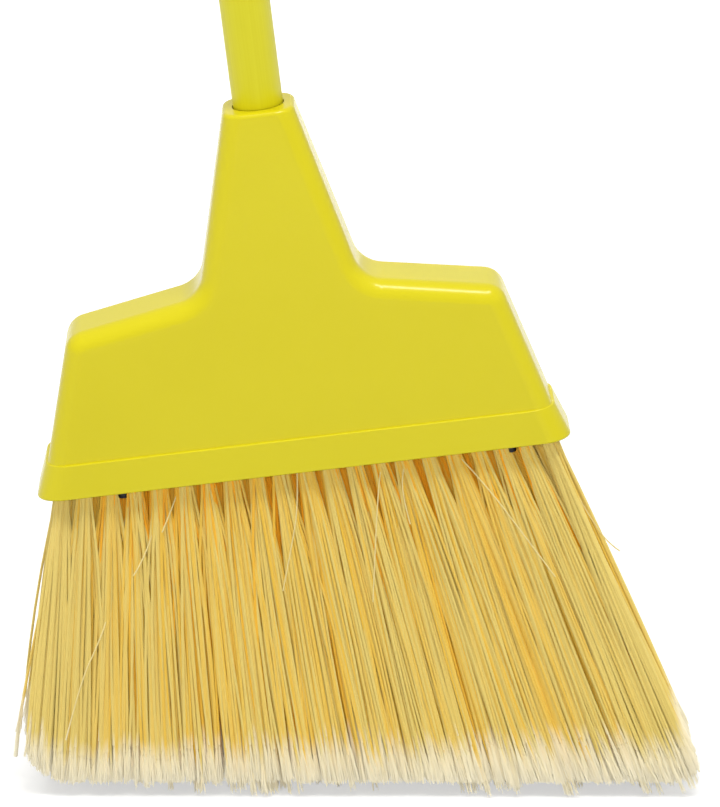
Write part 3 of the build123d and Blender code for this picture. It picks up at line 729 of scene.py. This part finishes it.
def smoothCopy(node, name, body, slot, material):
    mesh = frame["nodes"][node].data.copy()
    mesh.name = name
    shape = bmesh.new()
    shape.from_mesh(mesh)
    bmesh.ops.remove_doubles(shape, verts=shape.verts, dist=mouldings["mergeDistance"])
    for face in shape.faces:
        face.smooth = True
    for edgeLine in shape.edges:
        edgeLine.smooth = edgeLine.calc_face_angle(0.0) < mouldings["sharpAngle"]
    shape.to_mesh(mesh)
    shape.free()
    mesh.materials.clear()
    mesh.materials.append(material)
    piece = addPiece(name, mesh, body, slot, node)
    weighted = piece.modifiers.new("flatFacesStayFlat", "WEIGHTED_NORMAL")
    weighted.keep_sharp = True


smoothCopy("head_shell", "moulded_head", "head", "head_plastic", headMaterial)
smoothCopy("hang_cap", "hanging_eye", "hanger", "head_plastic", headMaterial)
print("head and hanging eye made")

# Studio: pale floor, soft light, and the camera where the photograph was taken
studio = {
    "azimuth": 1.937,
    "elevation": 20.525,
    "roll": 7.416,
    "distance": 1.96791,
    "aimX": 303.816,  # where the middle of the mouth falls in the picture
    "aimY": 456.969,
    "pixelsPerMetre": 2058.21,
    "width": 720,
    "height": 807,
    "sensor": 36.0,
    "farthest": 100.0,  # that the camera sees
    "floorReach": 40.0,
    "floorRoughness": 0.9,
    "floor": "#c8c8c6",
    "floorGlow": "#bcbcbc",  # to the eye only, so that the floor is white but for the shadow
    "skyStrength": 0.29,
    "skyGlow": 0.8,  # to the eye only
    "lamps": [  # name, place, aim, size, watts, whether it shows in the plastic's gloss
        ("ceilingLamp", (2.5, -5.0, 16.3), (0, 0, 0.25), (7.9, 1.14), 1210.0, True),
        ("highLamp", (-5.0, -3.6, 16.3), (0, 0, 0.25), (6.6, 3.6), 805.0, False),
        ("frontLamp", (-0.03, -2.2, 1.0), (0, 0, 0.2), (0.3, 0.3), 17.6, False),
        ("backLamp", (0.3, 2.7, 0.9), (0, 0, 0.3), (0.6, 0.6), 30.0, False),
        ("rightLamp", (2.4, 0.2, 1.4), (0, 0, 0.3), (0.6, 0.6), 7.0, False),
        ("leftLamp", (-2.4, 0.4, 1.2), (0, 0, 0.3), (0.6, 0.6), 8.0, False),
    ],
}


def makeCamera():
    az, el, roll = (radians(studio[k]) for k in ("azimuth", "elevation", "roll"))
    back = Vector((sin(az) * cos(el), -cos(az) * cos(el), sin(el)))
    level = Vector((cos(az), sin(az), 0))
    upright = back.cross(level)
    right = level * cos(roll) - upright * sin(roll)
    up = upright * cos(roll) + level * sin(roll)
    focal = studio["pixelsPerMetre"] * studio["distance"]
    yaw = atan((studio["aimX"] - studio["width"] / 2) / focal)
    pitch = atan((studio["height"] / 2 - studio["aimY"]) / focal * cos(yaw))
    ahead = -back * cos(yaw) - right * sin(yaw)
    right = right * cos(yaw) - back * sin(yaw)
    up, ahead = up * cos(pitch) + ahead * sin(pitch), ahead * cos(pitch) - up * sin(pitch)
    turned = Matrix((right, up, -ahead)).transposed().to_4x4()
    camera = bpy.data.objects.new("camera", bpy.data.cameras.new("camera"))
    camera.matrix_world = broomMatrix @ Matrix.Translation(back * studio["distance"]) @ turned
    camera.data.sensor_width = studio["sensor"]
    camera.data.lens = studio["sensor"] * focal / studio["height"]
    camera.data.clip_end = studio["farthest"]
    scene.collection.objects.link(camera)
    scene.camera = camera


def addLamp(name, spot, aim, size, power, shines):
    lamp = bpy.data.objects.new(name, bpy.data.lights.new(name, "AREA"))
    lamp.data.shape = "RECTANGLE"
    lamp.data.size, lamp.data.size_y = size
    lamp.data.energy = power
    lamp.visible_glossy = shines
    lamp.location = spot
    lamp.rotation_euler = (Vector(aim) - Vector(spot)).to_track_quat("-Z", "Y").to_euler()
    scene.collection.objects.link(lamp)


def backdropRays(add):  # 1 for rays that see the backdrop, straight or in a reflection
    rays = add("ShaderNodeLightPath").outputs
    seen = add("ShaderNodeMath", [rays["Is Camera Ray"], rays["Is Glossy Ray"]], operation="MAXIMUM")
    return add("ShaderNodeMath", [seen, rays["Is Transmission Ray"]], operation="MAXIMUM")


def makeStudio():
    ground = bpy.data.meshes.new("floor")
    far = studio["floorReach"]
    corners = [(-far, -far, 0), (far, -far, 0), (far, far, 0), (-far, far, 0)]
    ground.from_pydata(corners, [], [(0, 1, 2, 3)])
    floor = bpy.data.objects.new("floor", ground)
    scene.collection.objects.link(floor)
    material, add, _ = newMaterial("paleFloor")
    feeds = {"Base Color": toLinear(studio["floor"]), "Roughness": studio["floorRoughness"]}
    feeds |= {"Emission Color": toLinear(studio["floorGlow"]), "Emission Strength": backdropRays(add)}
    shader = add("ShaderNodeBsdfPrincipled", feeds)
    add("ShaderNodeOutputMaterial", {"Surface": shader})
    ground.materials.append(material)
    world = bpy.data.worlds.new("studio")
    world.use_nodes = True
    world.node_tree.nodes.clear()
    add = partial(addNode, world.node_tree)
    limits = {"To Min": studio["skyStrength"], "To Max": studio["skyGlow"]}
    strength = add("ShaderNodeMapRange", {"Value": backdropRays(add), **limits})
    sky = add("ShaderNodeBackground", {"Color": (1, 1, 1, 1), "Strength": strength})
    add("ShaderNodeOutputWorld", {"Surface": sky})
    scene.world = world
    for lamp in studio["lamps"]:
        addLamp(*lamp)


makeCamera()
makeStudio()
scene.view_settings.view_transform = "Standard"
print("studio made")
